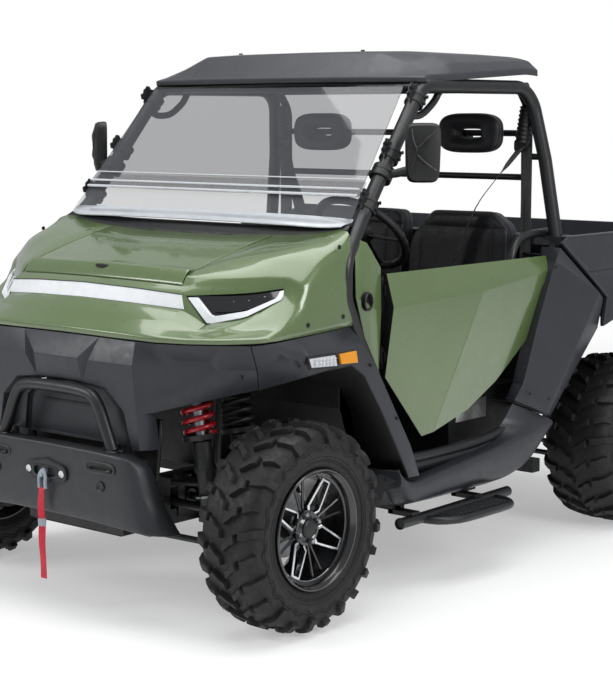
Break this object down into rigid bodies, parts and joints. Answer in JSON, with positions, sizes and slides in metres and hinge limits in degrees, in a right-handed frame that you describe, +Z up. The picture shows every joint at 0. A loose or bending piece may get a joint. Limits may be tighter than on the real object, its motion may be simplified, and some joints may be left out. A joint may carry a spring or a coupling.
{
  "type": "side by side utility vehicle",
  "caption": "Open two-seat utility vehicle with a tube cage, split windscreen, low doors, hood, tipping cargo bed with tailgate, lugged tyres and a hanging winch strap.",
  "frame": {"origin": "centre of the vehicle's length and width, on the ground under the tyres", "axes": "+X to the vehicle's left, -Y to its front, +Z up"},
  "size_m": [1.7, 2.9354, 1.82],
  "materials": {
    "body_green": "moulded-in olive green, semi-gloss",
    "charcoal_plastic": "fine-grained dark moulding",
    "black_tube": "black powder coat",
    "rim_black": "satin black with machined edges",
    "tyre": "matt rubber",
    "steel": "machined",
    "spring_red": "gloss red",
    "glazing": "clear hard-coated sheet",
    "lamp_lens": "clear over white",
    "tail_red": "red lens",
    "vinyl": "black vinyl",
    "webbing": "black webbing",
    "strap_red": "red webbing",
    "soft_grip": "matt grip",
    "battery_case": "sealed pack"
  },
  "bodies": {
    "body": {"battery": "battery_case", "bumper": "black_tube", "bumper_hoop": "black_tube", "cab_tub": "charcoal_plastic", "dash": "charcoal_plastic", "drive_units": "steel", "fairlead": "black_tube", "front_fascia": "charcoal_plastic", "front_flares": "charcoal_plastic", "half_shafts": "black_tube", "headlights": "lamp_lens", "headrests": "vinyl", "hitch_receiver": "black_tube", "kick_panels": "body_green", "light_bar": "lamp_lens", "main_frame": "black_tube", "mirrors": "charcoal_plastic", "nose_shell": "body_green", "rack_housing": "black_tube", "rear_fenders": "charcoal_plastic", "rear_hubs": "steel", "roll_cage": "black_tube", "roof": "charcoal_plastic", "seat_backs": "vinyl", "seat_base": "charcoal_plastic", "seat_belts": "webbing", "seat_cushions": "vinyl", "shocks": "steel", "side_steps": "black_tube", "sills": "charcoal_plastic", "skid_plate": "black_tube", "springs": "spring_red", "winch": "black_tube", "winch_hook": "steel", "winch_strap": "strap_red", "windscreen": "glazing", "windscreen_clamps": "black_tube", "wishbones": "black_tube"},
    "knuckle_left": {"knuckle_left": "steel"},
    "knuckle_right": {"knuckle_right": "steel"},
    "rack": {"rack_bar": "steel"},
    "steering_wheel": {"steering_wheel": "soft_grip"},
    "wheel_front_left": {"tyre_front_left": "tyre", "rim_front_left": "rim_black"},
    "wheel_front_right": {"tyre_front_right": "tyre", "rim_front_right": "rim_black"},
    "wheel_rear_left": {"tyre_rear_left": "tyre", "rim_rear_left": "rim_black"},
    "wheel_rear_right": {"tyre_rear_right": "tyre", "rim_rear_right": "rim_black"},
    "hood": {"hood": "body_green"},
    "door_left": {"door_left": "body_green"},
    "door_right": {"door_right": "body_green"},
    "bed": {"bed": "charcoal_plastic", "tail_lamps": "tail_red"},
    "tailgate": {"tailgate": "charcoal_plastic"}
  },
  "joints": [
    {"name": "steer_left", "type": "hinge", "parent": "body", "child": "knuckle_left", "pos_m": [0.645, -1.0975, 0.33], "axis": [0, 0, 1], "range_deg": [-28, 28]},
    {"name": "steer_right", "type": "hinge", "parent": "body", "child": "knuckle_right", "pos_m": [-0.645, -1.0975, 0.33], "axis": [0, 0, 1], "range_deg": [-28, 28]},
    {"name": "rack_travel", "type": "slide", "parent": "body", "child": "rack", "axis": [1, 0, 0], "range_m": [-0.05, 0.05]},
    {"name": "steering_wheel_turn", "type": "hinge", "parent": "body", "child": "steering_wheel", "pos_m": [0.358, -0.2775, 1.178], "axis": [0, 0.7071, 0.7071], "range_deg": [-340, 340]},
    {"name": "wheel_front_left_roll", "type": "hinge", "parent": "knuckle_left", "child": "wheel_front_left", "pos_m": [0.736, -1.0975, 0.33], "axis": [1, 0, 0], "continuous": true},
    {"name": "wheel_front_right_roll", "type": "hinge", "parent": "knuckle_right", "child": "wheel_front_right", "pos_m": [-0.736, -1.0975, 0.33], "axis": [1, 0, 0], "continuous": true},
    {"name": "wheel_rear_left_roll", "type": "hinge", "parent": "body", "child": "wheel_rear_left", "pos_m": [0.71, 0.9025, 0.33], "axis": [1, 0, 0], "continuous": true},
    {"name": "wheel_rear_right_roll", "type": "hinge", "parent": "body", "child": "wheel_rear_right", "pos_m": [-0.71, 0.9025, 0.33], "axis": [1, 0, 0], "continuous": true},
    {"name": "hood_open", "type": "hinge", "parent": "body", "child": "hood", "pos_m": [0, -0.8115, 1.178], "axis": [-1, 0, 0], "range_deg": [0, 50]},
    {"name": "door_left_open", "type": "hinge", "parent": "body", "child": "door_left", "pos_m": [0.712, -0.5905, 0.8], "axis": [0, 0, -1], "range_deg": [0, 65]},
    {"name": "door_right_open", "type": "hinge", "parent": "body", "child": "door_right", "pos_m": [-0.712, -0.5905, 0.8], "axis": [0, 0, 1], "range_deg": [0, 65]},
    {"name": "bed_tip", "type": "hinge", "parent": "body", "child": "bed", "pos_m": [0, 1.2325, 0.79], "axis": [-1, 0, 0], "range_deg": [0, 45]},
    {"name": "tailgate_drop", "type": "hinge", "parent": "bed", "child": "tailgate", "pos_m": [0, 1.4385, 0.838], "axis": [-1, 0, 0], "range_deg": [0, 90]}
  ],
  "couplings": [
    {"joint": "steer_right", "follows": "steer_left", "ratio": 1},
    {"joint": "rack_travel", "follows": "steer_left", "m_per_rad": -0.095},
    {"joint": "steering_wheel_turn", "follows": "steer_left", "ratio": 12}
  ]
}
